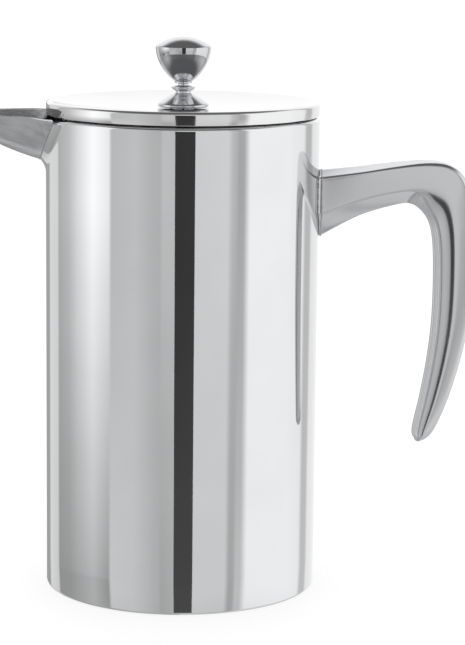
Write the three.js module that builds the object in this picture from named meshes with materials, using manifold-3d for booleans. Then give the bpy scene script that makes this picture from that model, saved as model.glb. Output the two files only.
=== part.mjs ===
// French press: a double-wall polished steel vessel with a welded spout and handle, a lid with a
// strainer plug, and a plunger whose filter stack slides down inside the vessel.
// Millimetres, +Z up. The origin is on the vessel's axis, on the surface that it stands on.
// The spout points along -X and the handle along +X. The plunger is modelled pressed fully down.

import * as THREE from "three";
import { mergeVertices } from "three/addons/utils/BufferGeometryUtils.js";
import Module from "manifold-3d";

const wasm = await Module();
wasm.setup();

// ---- Driving dimensions ----

const GAP = 0.3; // clearance kept between neighbouring pieces
const SIDES = 40; // sides of a large round piece
const SMALL_SIDES = 20; // sides of a small round piece
const CURVE_STEPS = 2; // steps of each curve in a turned profile, and twice as many in an arc

// Vessel
const BODY_R = 54; // outside of the outer wall
const BODY_H = 188.4; // rim
const SHEET = 0.9; // outer wall
const SHOULDER_R = 1.8; // where the outer wall turns in to the rim
const FOOT_R = 1; // outer edge of the base
const FOOT_FLANGE_R = 49.5; // inner edge of the turned-in foot
const RIM_R = 50.2; // inner edge of the outer wall's rim
const CHAMBER_R = 48.4; // inside of the inner wall
const CHAMBER_FLOOR = 7.8; // inside of the inner floor
const CHAMBER_SHEET = 0.8; // inner wall
const CHAMBER_CORNER = 5.2; // inside corner between floor and wall
const PLATE_BEAD = 0.8; // height of the pressed ring in the base plate

// Spout: an open trough whose section is a parabola
const SPOUT_SEAM_R = 56.2; // where the wall's flare ends and the trough is welded on
const SPOUT_TIP_X = 90; // reach of the lip from the axis
const SPOUT_WALL = 1;
const SPOUT_HALF_WIDTH = [19.5, -0.12, -0.007]; // at the wall, and its change per mm and mm² outwards
const SPOUT_DEPTH = [18.4, -0.25, -0.0055]; // the same for its depth
const SPOUT_FLARE = 7.8; // how much wider the trough is at its root
const SPOUT_FLARE_LENGTH = 3.5; // distance in which that falls to a third
const SPOUT_EDGE_SLOPE = 1.2; // how much faster the trough's wall narrows it than deepens it
const SPOUT_FAIRING = 7.5; // width of the blend from the wall to the seam

// Handle: a house-shaped section swept between an outer edge line and an inner keel line
const HANDLE_SEAM_X = 54.7; // flat face on the wall's flare that the handle is welded to
const HANDLE_ROOT_HALF = 8.5; // half the width at the seam
const HANDLE_GRIP_HALF = 7.2; // half the width of the grip
const HANDLE_FAIRING = 22.5; // how far the flare spreads to each side on the wall
const HANDLE_EDGE = [
  [55, 167.2],
  [69.2, 168.6],
  [84, 170.5],
  [97, 171.4],
  [106, 169.7],
  [112.2, 163.8],
  [115.2, 151],
  [116, 131],
  [115.2, 110],
  [112.3, 93.5],
  [107.4, 76],
  [101.7, 62.6],
  [97, 57.9],
];
const HANDLE_KEEL = [
  [55, 140.9],
  [70, 148.9],
  [83, 153],
  [90, 154],
  [94.4, 151.6],
  [97.9, 146.6],
  [99.6, 138.6],
  [100.2, 125],
  [99.9, 107],
  [98.3, 91],
  [95.8, 76],
  [93.1, 62.4],
  [94.3, 58.5],
];

// Lid
const LID_R = 53.9;
const LID_EDGE_Z = 194.07; // highest ring of the dished top
const LID_CENTRE_Z = 191.3; // flat middle of the dished top
const LID_SKIRT_Z = 188.9; // lower edge of the skirt
const LID_SHEET = 0.8;
const LID_DISH_R = [14, 38]; // end of the flat middle, and the corner that the dish's curve bends to
const LID_HOLE_R = 5.3; // hole that the ferrule's stub goes through
const LINER_TOP_Z = 190.2;
const LINER_FLANGE = [52.6, 188.8, 189.6]; // radius, underside and top of the flange on the rim
const PLUG_R = 47.6; // outside of the plug that sits in the vessel
const PLUG_BOTTOM_Z = 172;
const SLOT_COUNT = 11; // strainer slots in the plug
const SLOT_PITCH = 6; // degrees
const SLOT_WIDTH = 2.2;
const SLOT_Z = [179.6, 187.2];
const SEAL_HEIGHT = 2.8;
const GROOVE = 1.2; // depth of the seal's groove

// Ferrule that guides the rod, with its nut, washer and bush
const FERRULE_R = 10.15;
const STUB_R = 5;
const STUB_Z = 183.4;
const BUSH_R = 3.6;
const NUT_FLATS = 15;
const NUT_Z = [184, 187.8];
const WASHER_R = 8.6;
const WASHER_Z = [188.1, 189.1];

// Plunger
const ROD_R = 2;
const BORE_R = ROD_R + GAP; // every hole that the rod goes through
const ROD_Z = [9.8, 205.9];
const KNOB_Z = [200.9, 215.4, 219.1]; // foot, rim and crown
const KNOB_R = [3.15, 10.95]; // foot and rim
const COIL_R = 45.2; // middle line of the coil that wipes the wall
const COIL_TUBE_R = 2;
const COIL_Z = 17.6;
const SCREEN_SHEET = 0.4;
const PLATE_SHEET = 0.8;
const PLATE_HOLES = [[8, 17, 4.4], [14, 32, 4.8]]; // count, circle and radius
const CROSS_R = 40;
const CROSS_WINDOWS = [6, 10, 36]; // count, inner radius and outer radius
const CROSS_ARM = 2.2; // half the width of an arm
const COLLAR_R = 4.6;
const HUB_NUT_FLATS = 9;
const HUB_NUT_Z = [9, 13.1];

// ---- Materials ----

const metal = (color, roughness) => new THREE.MeshStandardMaterial({ color, roughness, metalness: 1 });
const MIRROR = metal(0xe4e5e7, 0.06);
const SATIN = metal(0xc9cacc, 0.28);
const BRUSHED = metal(0xb9babd, 0.38);
const WIRE = metal(0xa8aaad, 0.45);
const SILICONE = new THREE.MeshStandardMaterial({ color: 0x3b3c3e, roughness: 0.7 });
const BUSH_PLASTIC = new THREE.MeshStandardMaterial({ color: 0xe9e7e1, roughness: 0.55 });

// ---- Solids ----

// The geometry with shared vertices merged and collapsed triangles left out.
function welded(geometry) {
  const bare = geometry.clone();
  bare.deleteAttribute("normal");
  bare.deleteAttribute("uv");
  const merged = mergeVertices(bare, 1e-4);
  const index = merged.index.array;
  const kept = [];
  for (let i = 0; i < index.length; i += 3) {
    const [a, b, c] = index.slice(i, i + 3);
    if (a !== b && b !== c && c !== a) kept.push(a, b, c);
  }
  merged.setIndex(kept);
  return merged;
}

function solid(geometry) {
  const mesh = welded(geometry);
  const vertProperties = new Float32Array(mesh.attributes.position.array);
  const triVerts = new Uint32Array(mesh.index.array);
  const made = new wasm.Manifold(new wasm.Mesh({ numProp: 3, vertProperties, triVerts }));
  if (made.volume() > 0) return made;
  for (let i = 0; i < triVerts.length; i += 3) {
    [triVerts[i + 1], triVerts[i + 2]] = [triVerts[i + 2], triVerts[i + 1]];
  }
  return new wasm.Manifold(new wasm.Mesh({ numProp: 3, vertProperties, triVerts }));
}

function geometryOf(made) {
  const mesh = made.getMesh();
  const geometry = new THREE.BufferGeometry();
  const xyz = new Float32Array(mesh.numVert * 3);
  for (let i = 0; i < mesh.numVert; i += 1) {
    xyz.set(mesh.vertProperties.subarray(i * mesh.numProp, i * mesh.numProp + 3), i * 3);
  }
  geometry.setAttribute("position", new THREE.BufferAttribute(xyz, 3));
  geometry.setIndex(new THREE.BufferAttribute(mesh.triVerts, 1));
  geometry.computeVertexNormals();
  return geometry;
}

// The outer surface alone, so that a pocket left inside a join is filled.
const filled = (made) => made.decompose().reduce((a, b) => (a.volume() > b.volume() ? a : b));

const without = (made, cutters) => cutters.reduce((left, cutter) => left.subtract(cutter), made);

// A turned piece: the path holds radius and height, and closes on itself or on the axis.
function turned(path, sides = SIDES, steps = CURVE_STEPS) {
  const profile = path.getPoints(steps);
  return solid(new THREE.LatheGeometry(profile, sides).rotateX(Math.PI / 2));
}

// A turned piece whose profile has only straight lines.
function turnedLines(corners, sides = SIDES) {
  return turned(new THREE.Path(corners.map(([r, z]) => new THREE.Vector2(r, z))), sides);
}

// A ring with a square section.
function ring(inner, outer, low, high, sides = SMALL_SIDES) {
  const corners = [[inner, low], [outer, low], [outer, high], [inner, high], [inner, low]];
  return turnedLines(corners, sides);
}

function rodSolid(radius, low, high, sides = SMALL_SIDES) {
  const bar = new THREE.CylinderGeometry(radius, radius, high - low, sides);
  return solid(bar.rotateX(Math.PI / 2).translate(0, 0, (low + high) / 2));
}

// A hexagonal nut with a plain bore.
function nut(flats, bore, low, high) {
  const corner = flats / Math.sqrt(3);
  return rodSolid(corner, low, high, 6).subtract(rodSolid(bore, low - 1, high + 1));
}

// Moves each vertex of a geometry to place(x, y, z).
function warped(geometry, place) {
  const position = geometry.attributes.position;
  for (let i = 0; i < position.count; i += 1) {
    position.setXYZ(i, ...place(position.getX(i), position.getY(i), position.getZ(i)));
  }
  return geometry;
}

const mix = THREE.MathUtils.lerp;

function mesh(name, made, material) {
  const piece = new THREE.Mesh(geometryOf(made), material);
  piece.name = name;
  return piece;
}

// ---- Spout ----

const SEAM_SIDE = -3.4; // the seam's distance outside the wall at the trough's edges
const flared = (s) => SPOUT_FLARE * Math.exp((SEAM_SIDE - 0.6 - s) / SPOUT_FLARE_LENGTH);
const curved = ([start, slope, bend], s) => start + slope * s + bend * s * s;

// The trough's half width and depth, at a distance outside the wall.
const spoutHalfWidth = (s) => curved(SPOUT_HALF_WIDTH, s) + flared(s);
const spoutDepth = (s) => curved(SPOUT_DEPTH, s);

const SEAM_KEEL = SPOUT_SEAM_R - BODY_R; // and at its keel
const BLOCK_SPARE = 10; // a block's flat end lies this far past the round face it is cut to
const SEAM_HALF_WIDTH = spoutHalfWidth(SEAM_SIDE);
const SEAM_DEPTH = spoutDepth(SEAM_KEEL);

// x is across the trough, y through its wall and z along it, each over its whole range.
function spoutTrough() {
  const sheet = new THREE.BoxGeometry(2, 1, 1, 12, 1, 8);
  const root = SPOUT_SEAM_R + GAP;
  const tip = SPOUT_TIP_X - BODY_R;
  return solid(warped(sheet, (across, y, z) => {
    const inside = y + 0.5;
    const along = z + 0.5;
    const half = spoutHalfWidth(mix(SEAM_SIDE, tip - 2, along)) - SPOUT_EDGE_SLOPE * SPOUT_WALL * inside;
    const depth = spoutDepth(mix(SEAM_KEEL, tip, along)) - SPOUT_WALL * inside;
    const side = across * half;
    const fromAxis = mix(Math.sqrt(root * root - side * side), SPOUT_TIP_X - 2 * across * across, along);
    return [-fromAxis, side, BODY_H - depth * (1 - across * across)];
  }));
}

// The space under a parabola, capped at the given height above its edges.
function parabolaCap(above) {
  const shape = new THREE.Shape();
  const steps = 12;
  shape.moveTo(-1, 0);
  for (let i = 1; i <= steps; i += 1) {
    const v = -1 + (2 * i) / steps;
    shape.lineTo(v, v * v - 1);
  }
  if (above > 0) {
    shape.lineTo(1, above);
    shape.lineTo(-1, above);
  }
  return shape;
}

// A block in the wall with the spout's outline, from one radius to the next of the stations.
// A station is a radius, a half width and a depth.
function spoutBlock(stations, above) {
  const steps = stations.length - 1;
  const size = { depth: 1, steps, bevelEnabled: false };
  const block = new THREE.ExtrudeGeometry(parabolaCap(above), size);
  return solid(warped(block, (v, q, along) => {
    const [radius, half, depth] = stations[Math.round(along * steps)];
    const side = v * half;
    return [-Math.sqrt(radius * radius - side * side), side, BODY_H + q * depth];
  }));
}

// The collar between the two walls, then the flare outside the wall, widest where it leaves it.
function spoutFlare() {
  const start = BODY_R - 0.5;
  const stations = [
    [RIM_R, SEAM_HALF_WIDTH, SEAM_DEPTH],
    [start - 0.1, SEAM_HALF_WIDTH, SEAM_DEPTH],
  ];
  for (let k = 0; k <= 5; k += 1) {
    const spread = SPOUT_FAIRING * (1 - k / 5) ** 2;
    stations.push([mix(start, SPOUT_SEAM_R, k / 5), SEAM_HALF_WIDTH + spread, SEAM_DEPTH + spread]);
  }
  stations.push([SPOUT_SEAM_R + BLOCK_SPARE, SEAM_HALF_WIDTH, SEAM_DEPTH]);
  const face = rodSolid(SPOUT_SEAM_R, 0, BODY_H, 2 * SIDES);
  return spoutBlock(stations, 0).intersect(face).subtract(rodSolid(RIM_R + 0.15, 0, BODY_H + 1, SIDES));
}

function spoutPassage() {
  const half = SEAM_HALF_WIDTH - SPOUT_EDGE_SLOPE * SPOUT_WALL;
  const depth = SEAM_DEPTH - SPOUT_WALL;
  return spoutBlock([[CHAMBER_R - 6, half, depth], [SPOUT_SEAM_R + BLOCK_SPARE, half, depth]], 0.2);
}

// ---- Handle ----

const RIDGE = 0.37; // where the sides end and the V-shaped underside starts, as a share of the height

// x is across the handle and y from the keel, 0, to the outer edge, 1.
// Each line across the section is cut into the given number of steps.
function handleSection(steps) {
  const half = [
    [0, 0],
    [1, RIDGE],
    [1, 0.82],
    [0.9, 0.93],
    [0.6, 0.985],
    [0, 1],
  ];
  const side = half.slice(1).flatMap(([x, y], i) => {
    const [fromX, fromY] = half[i];
    const count = Math.ceil(Math.abs(x - fromX) * steps) || 1;
    return Array.from({ length: count }, (_, k) => [mix(fromX, x, k / count), mix(fromY, y, k / count)]);
  });
  const mirrored = side.slice(1).map(([x, y]) => [-x, y]).reverse();
  return new THREE.Shape([...side, [0, 1], ...mirrored].map(([x, y]) => new THREE.Vector2(x, y)));
}

// Shifts the ridge of the section to another share of its height.
function withRidge(y, ridge) {
  if (y <= RIDGE) return (y * ridge) / RIDGE;
  return 1 - ((1 - y) * (1 - ridge)) / (1 - RIDGE);
}

function handleHalfWidth(t) {
  const half = mix(HANDLE_ROOT_HALF, HANDLE_GRIP_HALF, THREE.MathUtils.smoothstep(t, 0, 0.5));
  const slim = mix(1, 0.82, THREE.MathUtils.smoothstep(t, 0.6, 0.92));
  const end = THREE.MathUtils.clamp((t - 0.92) / 0.08, 0, 1);
  return half * slim * Math.sqrt(1 - 0.75 * end * end);
}

function handleBar() {
  const edge = new THREE.SplineCurve(HANDLE_EDGE.map(([x, z]) => new THREE.Vector2(x, z)));
  const keel = new THREE.SplineCurve(HANDLE_KEEL.map(([x, z]) => new THREE.Vector2(x, z)));
  const size = { depth: 1, steps: 32, bevelEnabled: false };
  const bar = new THREE.ExtrudeGeometry(handleSection(1), size);
  return solid(warped(bar, (across, y, t) => {
    const share = withRidge(y, mix(RIDGE, 0.28, Math.min(1, 2.5 * t)));
    const point = keel.getPoint(t).lerp(edge.getPoint(t), share);
    return [point.x, across * handleHalfWidth(t), point.y];
  }));
}

// The wall drawn out to the flat face that the handle is welded to.
function handleFlare() {
  const steps = 5;
  const start = BODY_R - 0.6;
  const [, top] = HANDLE_EDGE[0];
  const [, keel] = HANDLE_KEEL[0];
  const size = { depth: 1, steps, bevelEnabled: false };
  const block = new THREE.ExtrudeGeometry(handleSection(6), size);
  const flare = solid(warped(block, (across, y, along) => {
    const spread = HANDLE_FAIRING * (1 - along) ** 0.45;
    const side = across * (HANDLE_ROOT_HALF + spread);
    const face = Math.hypot(HANDLE_SEAM_X, across * HANDLE_ROOT_HALF);
    const radius = mix(start, face, along);
    const share = withRidge(y, RIDGE + 0.01 * spread);
    const height = mix(keel - 0.08 * spread, top + 0.5 * spread, share);
    return [Math.sqrt(radius * radius - side * side), side, height];
  }));
  return flare.subtract(rodSolid(BODY_R - SHEET / 2, 0, BODY_H, SIDES));
}

// ---- Vessel ----

function outerShell() {
  const inside = BODY_R - SHEET;
  const shoulder = BODY_R - SHOULDER_R;
  const path = new THREE.Path();
  path.moveTo(FOOT_FLANGE_R, 0);
  path.lineTo(BODY_R - FOOT_R, 0);
  path.quadraticCurveTo(BODY_R, 0, BODY_R, FOOT_R);
  path.lineTo(BODY_R, BODY_H - SHOULDER_R);
  path.absarc(shoulder, BODY_H - SHOULDER_R, SHOULDER_R, 0, Math.PI / 2);
  path.lineTo(RIM_R, BODY_H);
  path.lineTo(RIM_R, BODY_H - SHEET);
  path.absarc(shoulder, BODY_H - SHOULDER_R, SHOULDER_R - SHEET, Math.PI / 2, 0, true);
  path.lineTo(inside, SHEET);
  path.lineTo(FOOT_FLANGE_R, SHEET);
  path.lineTo(FOOT_FLANGE_R, 0);
  return filled(turned(path).add(spoutFlare()).add(handleFlare())).subtract(spoutPassage());
}

function innerVessel() {
  const outside = CHAMBER_R + CHAMBER_SHEET;
  const under = CHAMBER_FLOOR - CHAMBER_SHEET;
  const lip = RIM_R - GAP;
  const corner = CHAMBER_CORNER;
  const path = new THREE.Path();
  path.moveTo(0, under);
  path.lineTo(CHAMBER_R - corner, under);
  path.quadraticCurveTo(outside, under, outside, CHAMBER_FLOOR + corner);
  path.lineTo(outside, BODY_H - 2.2);
  path.lineTo(lip, BODY_H - 1.4);
  path.lineTo(lip, BODY_H);
  path.lineTo(CHAMBER_R, BODY_H);
  path.lineTo(CHAMBER_R, CHAMBER_FLOOR + corner);
  path.quadraticCurveTo(CHAMBER_R, CHAMBER_FLOOR, CHAMBER_R - corner, CHAMBER_FLOOR);
  path.lineTo(0, CHAMBER_FLOOR);
  return turned(path).subtract(spoutPassage());
}

// A flat disc with one pressed ring, which closes the foot.
function basePlate() {
  const edge = FOOT_FLANGE_R - GAP;
  const bead = [[0, 0], [36, 0], [38, PLATE_BEAD], [45.5, PLATE_BEAD], [47.5, 0], [edge, 0]];
  const top = bead.map(([r, z]) => [r, z + 1]).reverse();
  return turnedLines([...bead, ...top]);
}

// ---- Lid ----

function lidCover() {
  const [flat, bend] = LID_DISH_R;
  const edge = LID_R - 1;
  const inside = LID_R - LID_SHEET;
  const under = LID_CENTRE_Z - LID_SHEET;
  const path = new THREE.Path();
  path.moveTo(LID_HOLE_R, LID_CENTRE_Z);
  path.lineTo(flat, LID_CENTRE_Z);
  path.quadraticCurveTo(bend, LID_CENTRE_Z, edge, LID_EDGE_Z);
  path.quadraticCurveTo(LID_R, LID_EDGE_Z, LID_R, LID_EDGE_Z - 1);
  path.lineTo(LID_R, LID_SKIRT_Z);
  path.lineTo(inside, LID_SKIRT_Z);
  path.lineTo(inside, LID_EDGE_Z - 1.2);
  path.quadraticCurveTo(bend, under, flat, under);
  path.lineTo(LID_HOLE_R, under);
  path.lineTo(LID_HOLE_R, LID_CENTRE_Z);
  return turned(path);
}

// The pan under the cover: a flange over the vessel's rim and a plug wall that goes inside it.
// The wall has a rolled groove for the seal, and strainer slots that face the spout.
function lidLiner() {
  const wall = PLUG_R - LID_SHEET;
  const low = PLUG_BOTTOM_Z;
  const under = LINER_TOP_Z - LID_SHEET;
  const [flange, flangeLow, flangeHigh] = LINER_FLANGE;
  const inside = [
    [wall, low],
    [wall, low + 0.6],
    [wall - GROOVE, low + 1.4],
    [wall - GROOVE, low + 5.6],
    [wall, low + 6.4],
    [wall, under - 0.8],
    [wall - 0.8, under],
    [LID_HOLE_R, under],
  ];
  const outside = [
    [LID_HOLE_R, LINER_TOP_Z],
    [wall - 1.6, LINER_TOP_Z],
    [wall - 0.4, flangeHigh],
    [flange, flangeHigh],
    [flange, flangeLow],
    [PLUG_R, flangeLow],
    [PLUG_R, low + 6],
    [PLUG_R - GROOVE, low + 5.2],
    [PLUG_R - GROOVE, low + 1.8],
    [PLUG_R, low + 1],
    [PLUG_R, low],
  ];
  return without(turnedLines([...inside, ...outside, inside[0]]), strainerSlots());
}

function strainerSlots() {
  const [low, high] = SLOT_Z;
  const slots = [];
  for (let i = 0; i < SLOT_COUNT; i += 1) {
    const turn = ((i - (SLOT_COUNT - 1) / 2) * SLOT_PITCH * Math.PI) / 180;
    const slot = new THREE.BoxGeometry(4, SLOT_WIDTH, high - low);
    slots.push(solid(slot.translate(-PLUG_R, 0, (low + high) / 2).rotateZ(turn)));
  }
  return slots;
}

function lidSeal() {
  const inner = PLUG_R - GROOVE + GAP;
  const low = PLUG_BOTTOM_Z + 2.1;
  const high = low + SEAL_HEIGHT;
  const lip = CHAMBER_R - 0.25;
  const side = lip - 0.3;
  const corners = [[inner, low], [side, low], [lip, (low + high) / 2], [side, high], [inner, high]];
  return turnedLines([...corners, corners[0]]);
}

// Base cone, neck, collar and the stub that goes through the lid.
function lidFerrule() {
  const seat = LID_CENTRE_Z + GAP;
  const path = new THREE.Path();
  path.moveTo(BORE_R, seat + 8.5);
  path.lineTo(3.1, seat + 8.5);
  path.lineTo(4.8, seat + 7.8);
  path.lineTo(4.8, seat + 7.3);
  path.lineTo(3.5, seat + 6.3);
  path.lineTo(2.95, seat + 6.3);
  path.lineTo(2.95, seat + 5.5);
  path.lineTo(3.45, seat + 5.4);
  path.lineTo(FERRULE_R - 0.6, seat + 1.5);
  path.quadraticCurveTo(FERRULE_R + 0.3, seat + 0.9, FERRULE_R - 0.7, seat);
  path.lineTo(STUB_R, seat);
  path.lineTo(STUB_R, STUB_Z);
  path.lineTo(BUSH_R + GAP, STUB_Z);
  path.lineTo(BUSH_R + GAP, LID_CENTRE_Z - 0.3);
  path.lineTo(BORE_R, LID_CENTRE_Z - 0.3);
  path.lineTo(BORE_R, seat + 8.5);
  return turned(path, SMALL_SIDES);
}

function guideBush() {
  const top = LID_CENTRE_Z - 0.3 - GAP;
  const flange = STUB_Z - GAP;
  const corners = [
    [BORE_R, flange - 0.9],
    [STUB_R, flange - 0.9],
    [STUB_R, flange],
    [BUSH_R, flange],
    [BUSH_R, top],
    [BORE_R, top],
  ];
  return turnedLines([...corners, corners[0]], SMALL_SIDES);
}

// ---- Plunger ----

function knob() {
  const [foot, rim, crown] = KNOB_Z;
  const [footR, rimR] = KNOB_R;
  const rise = crown - rim;
  const domeR = (rimR * rimR + rise * rise) / (2 * rise);
  const rimAngle = Math.asin((domeR - rise) / domeR);
  const path = new THREE.Path();
  path.moveTo(0, ROD_Z[1] + 0.6);
  path.lineTo(BORE_R, ROD_Z[1] + 0.6);
  path.lineTo(BORE_R, foot);
  path.lineTo(footR, foot);
  path.bezierCurveTo(footR + 4, foot + 3, rimR, foot + 9, rimR, rim);
  path.absarc(0, crown - domeR, domeR, rimAngle, Math.PI / 2);
  return turned(path, SMALL_SIDES, 5);
}

// Round holes, evenly spaced on a circle.
function holes(count, circle, radius, low, high) {
  const cutters = [];
  for (let i = 0; i < count; i += 1) {
    const angle = (2 * Math.PI * i) / count;
    const cutter = new THREE.CylinderGeometry(radius, radius, high - low, 8);
    cutter.rotateX(Math.PI / 2).translate(circle, 0, (low + high) / 2).rotateZ(angle);
    cutters.push(solid(cutter));
  }
  return cutters;
}

// Openings between the arms of a cross, as sectors of a ring.
function sectorWindows(count, inner, outer, arm, low, high) {
  const half = Math.PI / count;
  const windows = [];
  for (let i = 0; i < count; i += 1) {
    const shape = new THREE.Shape();
    const innerHalf = half - Math.asin(arm / inner);
    const outerHalf = half - Math.asin(arm / outer);
    shape.absarc(0, 0, outer, -outerHalf, outerHalf);
    shape.absarc(0, 0, inner, innerHalf, -innerHalf, true);
    const size = { depth: high - low, curveSegments: 4, bevelEnabled: false };
    const cutter = new THREE.ExtrudeGeometry(shape, size);
    windows.push(solid(cutter.translate(0, 0, low).rotateZ((2 * i + 1) * half)));
  }
  return windows;
}

// The upper plate, with a turned-up rim that carries the coil.
function springPlate() {
  const low = COIL_Z - 2.1;
  const rim = COIL_R - COIL_TUBE_R - GAP;
  const corners = [
    [BORE_R, low],
    [rim, low],
    [rim, low + 3.9],
    [rim - PLATE_SHEET, low + 3.9],
    [rim - PLATE_SHEET, low + PLATE_SHEET],
    [BORE_R, low + PLATE_SHEET],
  ];
  const cutters = PLATE_HOLES.flatMap((hole) => holes(...hole, low - 1, low + 2));
  return without(turnedLines([...corners, corners[0]]), cutters);
}

function coilSpring() {
  return solid(new THREE.TorusGeometry(COIL_R, COIL_TUBE_R, 8, SIDES).translate(0, 0, COIL_Z));
}

// The woven screen, with its edge turned up round the outside of the coil.
function meshScreen() {
  const outer = COIL_TUBE_R + GAP + 0.05 + SCREEN_SHEET;
  const inner = outer - SCREEN_SHEET;
  const path = new THREE.Path();
  path.moveTo(BORE_R, COIL_Z - outer);
  path.lineTo(COIL_R, COIL_Z - outer);
  path.absarc(COIL_R, COIL_Z, outer, -Math.PI / 2, 0);
  path.absarc(COIL_R, COIL_Z, inner, 0, -Math.PI / 2, true);
  path.lineTo(BORE_R, COIL_Z - inner);
  path.lineTo(BORE_R, COIL_Z - outer);
  return turned(path);
}

// The lower plate: six wide openings and a turned-down rim.
function crossPlate() {
  const top = COIL_Z - 3.1;
  const inside = CROSS_R - 1;
  const corners = [
    [BORE_R, top],
    [BORE_R, top - 1],
    [inside, top - 1],
    [inside, top - 3],
    [CROSS_R, top - 3],
    [CROSS_R, top],
  ];
  const windows = sectorWindows(...CROSS_WINDOWS, CROSS_ARM, top - 2, top + 1);
  return without(turnedLines([...corners, corners[0]]), windows);
}

// ---- Assembly ----

const vessel = new THREE.Group();
vessel.add(
  mesh("outer_shell", outerShell(), MIRROR),
  mesh("inner_vessel", innerVessel(), BRUSHED),
  mesh("base_plate", basePlate(), SATIN),
  mesh("spout", spoutTrough(), SATIN),
  mesh("handle", handleBar(), SATIN),
);

const lid = new THREE.Group();
lid.add(
  mesh("lid_cover", lidCover(), MIRROR),
  mesh("lid_liner", lidLiner(), BRUSHED),
  mesh("lid_seal", lidSeal(), SILICONE),
  mesh("lid_ferrule", lidFerrule(), MIRROR),
  mesh("ferrule_washer", ring(LID_HOLE_R, WASHER_R, ...WASHER_Z), BRUSHED),
  mesh("ferrule_nut", nut(NUT_FLATS, LID_HOLE_R, ...NUT_Z), BRUSHED),
  mesh("guide_bush", guideBush(), BUSH_PLASTIC),
);

const plunger = new THREE.Group();
plunger.add(
  mesh("knob", knob(), MIRROR),
  mesh("plunger_rod", rodSolid(ROD_R, ...ROD_Z), MIRROR),
  mesh("rod_collar", ring(BORE_R, COLLAR_R, COIL_Z - 1, COIL_Z + 2.6), SATIN),
  mesh("spring_plate", springPlate(), SATIN),
  mesh("coil_spring", coilSpring(), WIRE),
  mesh("mesh_screen", meshScreen(), WIRE),
  mesh("cross_plate", crossPlate(), SATIN),
  mesh("hub_nut", nut(HUB_NUT_FLATS, BORE_R, ...HUB_NUT_Z), SATIN),
);

const frenchPress = new THREE.Group();
frenchPress.add(vessel, lid, plunger);

export default frenchPress;
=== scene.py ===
"""Looks of a polished double-wall french press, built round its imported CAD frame."""

import math

import bmesh
import bpy
from mathutils import Matrix, Vector


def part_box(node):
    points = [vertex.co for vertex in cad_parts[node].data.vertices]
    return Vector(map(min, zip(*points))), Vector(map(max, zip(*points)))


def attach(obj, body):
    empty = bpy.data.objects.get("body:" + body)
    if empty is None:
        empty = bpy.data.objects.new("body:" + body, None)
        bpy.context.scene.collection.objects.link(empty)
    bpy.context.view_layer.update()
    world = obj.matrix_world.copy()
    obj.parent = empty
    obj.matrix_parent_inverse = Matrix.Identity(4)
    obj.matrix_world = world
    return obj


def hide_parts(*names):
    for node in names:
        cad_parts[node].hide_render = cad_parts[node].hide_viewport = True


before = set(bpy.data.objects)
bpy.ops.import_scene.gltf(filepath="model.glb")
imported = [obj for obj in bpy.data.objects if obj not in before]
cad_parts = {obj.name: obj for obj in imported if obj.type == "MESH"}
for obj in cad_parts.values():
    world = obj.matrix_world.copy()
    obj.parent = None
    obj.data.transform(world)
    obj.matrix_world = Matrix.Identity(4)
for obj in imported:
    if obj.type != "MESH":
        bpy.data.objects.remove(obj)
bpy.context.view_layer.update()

MM = 0.001


# ---- Sizes read from the frame, in mm ----

def corners_of(node):
    low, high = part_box(node)
    return low / MM, high / MM


def turned_size(node):
    """Outer radius, lowest and highest point of a turned node."""
    low, high = corners_of(node)
    return high.y, low.z, high.z


SHELL_LOW, SHELL_HIGH = corners_of("outer_shell")
BODY_H = SHELL_HIGH.z
BODY_R = SHELL_HIGH.y
SPOUT_R = -SHELL_LOW.x  # radius of the seam that the spout is welded to
HANDLE_X = SHELL_HIGH.x  # flat face that the handle is welded to
SPOUT_LOW, SPOUT_HIGH = corners_of("spout")
SEAM_HALF = SPOUT_HIGH.y
SEAM_DEPTH = BODY_H - SPOUT_LOW.z
HANDLE_HIGH = corners_of("handle")[1]
ROD_R, ROD_LOW, ROD_HIGH = turned_size("plunger_rod")
BORE_R = ROD_R + 0.3
LID_HOLE_R = 5.3  # hole that the ferrule's shank passes through
COIL_OUT, COIL_LOW, COIL_HIGH = turned_size("coil_spring")
COIL_TUBE = (COIL_HIGH - COIL_LOW) / 2
COIL_R = COIL_OUT - COIL_TUBE
COIL_Z = (COIL_LOW + COIL_HIGH) / 2


# ---- Mesh helpers: all lengths are in mm until the mesh is made ----

def mix(a, b, t):
    return a + (b - a) * t


def smooth(t):
    t = min(1.0, max(0.0, t))
    return t * t * (3 - 2 * t)


def new_object(name, verts, faces, sharp=30):
    mesh = bpy.data.meshes.new(name)
    mesh.from_pydata([Vector(v) * MM for v in verts], [], faces)
    mesh.validate()
    turned_out(mesh)
    mesh.shade_smooth()
    mesh.set_sharp_from_angle(angle=math.radians(sharp))
    obj = bpy.data.objects.new(name, mesh)
    bpy.context.scene.collection.objects.link(obj)
    return obj


def turned_out(mesh):
    """Joins points that coincide, and turns the faces of a closed mesh outwards."""
    shape = bmesh.new()
    shape.from_mesh(mesh)
    bmesh.ops.remove_doubles(shape, verts=shape.verts, dist=2e-7)
    if shape.calc_volume(signed=True) < 0:
        bmesh.ops.reverse_faces(shape, faces=shape.faces)
    shape.to_mesh(mesh)
    shape.free()
    mesh.update()


def arc(centre_r, centre_z, radius, start, end, steps):
    """Points of a round stretch of a profile. Angles are in degrees from +r towards +z."""
    points = []
    for i in range(steps + 1):
        angle = math.radians(start + (end - start) * i / steps)
        points.append((centre_r + radius * math.cos(angle), centre_z + radius * math.sin(angle)))
    return points


def bezier(points, steps):
    """Points of a quadratic or cubic Bezier curve."""
    curve = []
    for i in range(steps + 1):
        level = [Vector(p) for p in points]
        while len(level) > 1:
            level = [a.lerp(b, i / steps) for a, b in zip(level, level[1:])]
        curve.append(tuple(level[0]))
    return curve


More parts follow.
